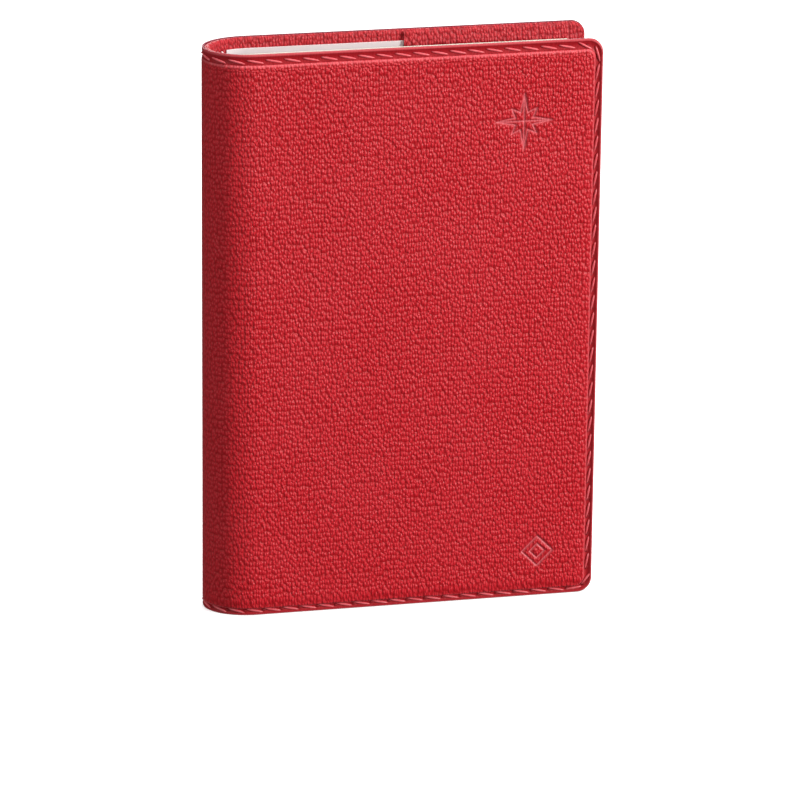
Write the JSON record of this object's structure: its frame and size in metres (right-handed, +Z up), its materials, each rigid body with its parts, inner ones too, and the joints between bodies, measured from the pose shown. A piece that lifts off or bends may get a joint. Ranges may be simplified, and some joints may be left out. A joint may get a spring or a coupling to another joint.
{
  "type": "pocket notebook",
  "caption": "Slim upright pocket notebook: soft grained slip cover with a rounded spine and inner pockets, around a sewn refill in a white card cover.",
  "frame": {"origin": "bottom centre of the closed notebook's box, on the surface it stands on", "axes": "+Z up along the spine, -Y out of the front cover, +X towards the fore-edge, -X out of the rounded spine"},
  "size_m": [0.106, 0.0216, 0.156],
  "materials": {
    "cover_skin": "fine pebble grain, satin",
    "lining": "fine pebble grain, satin",
    "padding": "matte felt",
    "card": "smooth matte",
    "paper": "uncoated",
    "mull": "open weave gauze",
    "thread": "waxed linen"
  },
  "bodies": {
    "spine": {"spine_skin": "cover_skin", "spine_padding": "padding", "spine_lining": "lining", "spine_card": "card", "spine_mull": "mull", "sewing_thread_1": "thread", "sewing_thread_2": "thread", "sewing_thread_3": "thread", "sewing_thread_4": "thread", "sewing_thread_5": "thread"},
    "front_cover": {"front_cover_skin": "cover_skin", "front_cover_padding": "padding", "front_cover_lining": "lining", "front_pocket_flap": "lining", "front_card": "card"},
    "back_cover": {"back_cover_skin": "cover_skin", "back_cover_padding": "padding", "back_cover_lining": "lining", "back_pocket_flap": "lining", "back_card": "card"},
    "leaves_1": {"section_1": "paper"},
    "leaves_2": {"section_2": "paper"},
    "leaves_3": {"section_3": "paper"},
    "leaves_4": {"section_4": "paper"},
    "leaves_5": {"section_5": "paper"},
    "leaves_6": {"section_6": "paper"},
    "leaves_7": {"section_7": "paper"},
    "leaves_8": {"section_8": "paper"}
  },
  "joints": [
    {"name": "front_cover_hinge", "type": "hinge", "parent": "spine", "child": "front_cover", "pos_m": [-0.04906, -0.00785, 0.078], "axis": [0, 0, -1], "range_deg": [0, 175]},
    {"name": "back_cover_hinge", "type": "hinge", "parent": "spine", "child": "back_cover", "pos_m": [-0.04906, 0.00785, 0.078], "axis": [0, 0, 1], "range_deg": [0, 175]},
    {"name": "leaves_1_fold", "type": "hinge", "parent": "spine", "child": "leaves_1", "pos_m": [-0.04551, -0.0065, 0.078], "axis": [0, 0, -1], "range_deg": [0, 70]},
    {"name": "leaves_2_fold", "type": "hinge", "parent": "spine", "child": "leaves_2", "pos_m": [-0.04551, -0.00515, 0.078], "axis": [0, 0, -1], "range_deg": [0, 52.5]},
    {"name": "leaves_3_fold", "type": "hinge", "parent": "spine", "child": "leaves_3", "pos_m": [-0.04551, -0.0038, 0.078], "axis": [0, 0, -1], "range_deg": [0, 35]},
    {"name": "leaves_4_fold", "type": "hinge", "parent": "spine", "child": "leaves_4", "pos_m": [-0.04551, -0.00245, 0.078], "axis": [0, 0, -1], "range_deg": [0, 17.5]},
    {"name": "leaves_5_fold", "type": "hinge", "parent": "spine", "child": "leaves_5", "pos_m": [-0.04551, -0.0011, 0.078], "axis": [0, 0, 1], "range_deg": [0, 17.5]},
    {"name": "leaves_6_fold", "type": "hinge", "parent": "spine", "child": "leaves_6", "pos_m": [-0.04551, 0.00025, 0.078], "axis": [0, 0, 1], "range_deg": [0, 35]},
    {"name": "leaves_7_fold", "type": "hinge", "parent": "spine", "child": "leaves_7", "pos_m": [-0.04551, 0.0016, 0.078], "axis": [0, 0, 1], "range_deg": [0, 52.5]},
    {"name": "leaves_8_fold", "type": "hinge", "parent": "spine", "child": "leaves_8", "pos_m": [-0.04551, 0.00295, 0.078], "axis": [0, 0, 1], "range_deg": [0, 70]}
  ],
  "couplings": [
    {"joint": "leaves_1_fold", "follows": "front_cover_hinge", "ratio": 0.4},
    {"joint": "leaves_2_fold", "follows": "front_cover_hinge", "ratio": 0.3},
    {"joint": "leaves_3_fold", "follows": "front_cover_hinge", "ratio": 0.2},
    {"joint": "leaves_4_fold", "follows": "front_cover_hinge", "ratio": 0.1},
    {"joint": "leaves_5_fold", "follows": "back_cover_hinge", "ratio": 0.1},
    {"joint": "leaves_6_fold", "follows": "back_cover_hinge", "ratio": 0.2},
    {"joint": "leaves_7_fold", "follows": "back_cover_hinge", "ratio": 0.3},
    {"joint": "leaves_8_fold", "follows": "back_cover_hinge", "ratio": 0.4}
  ]
}
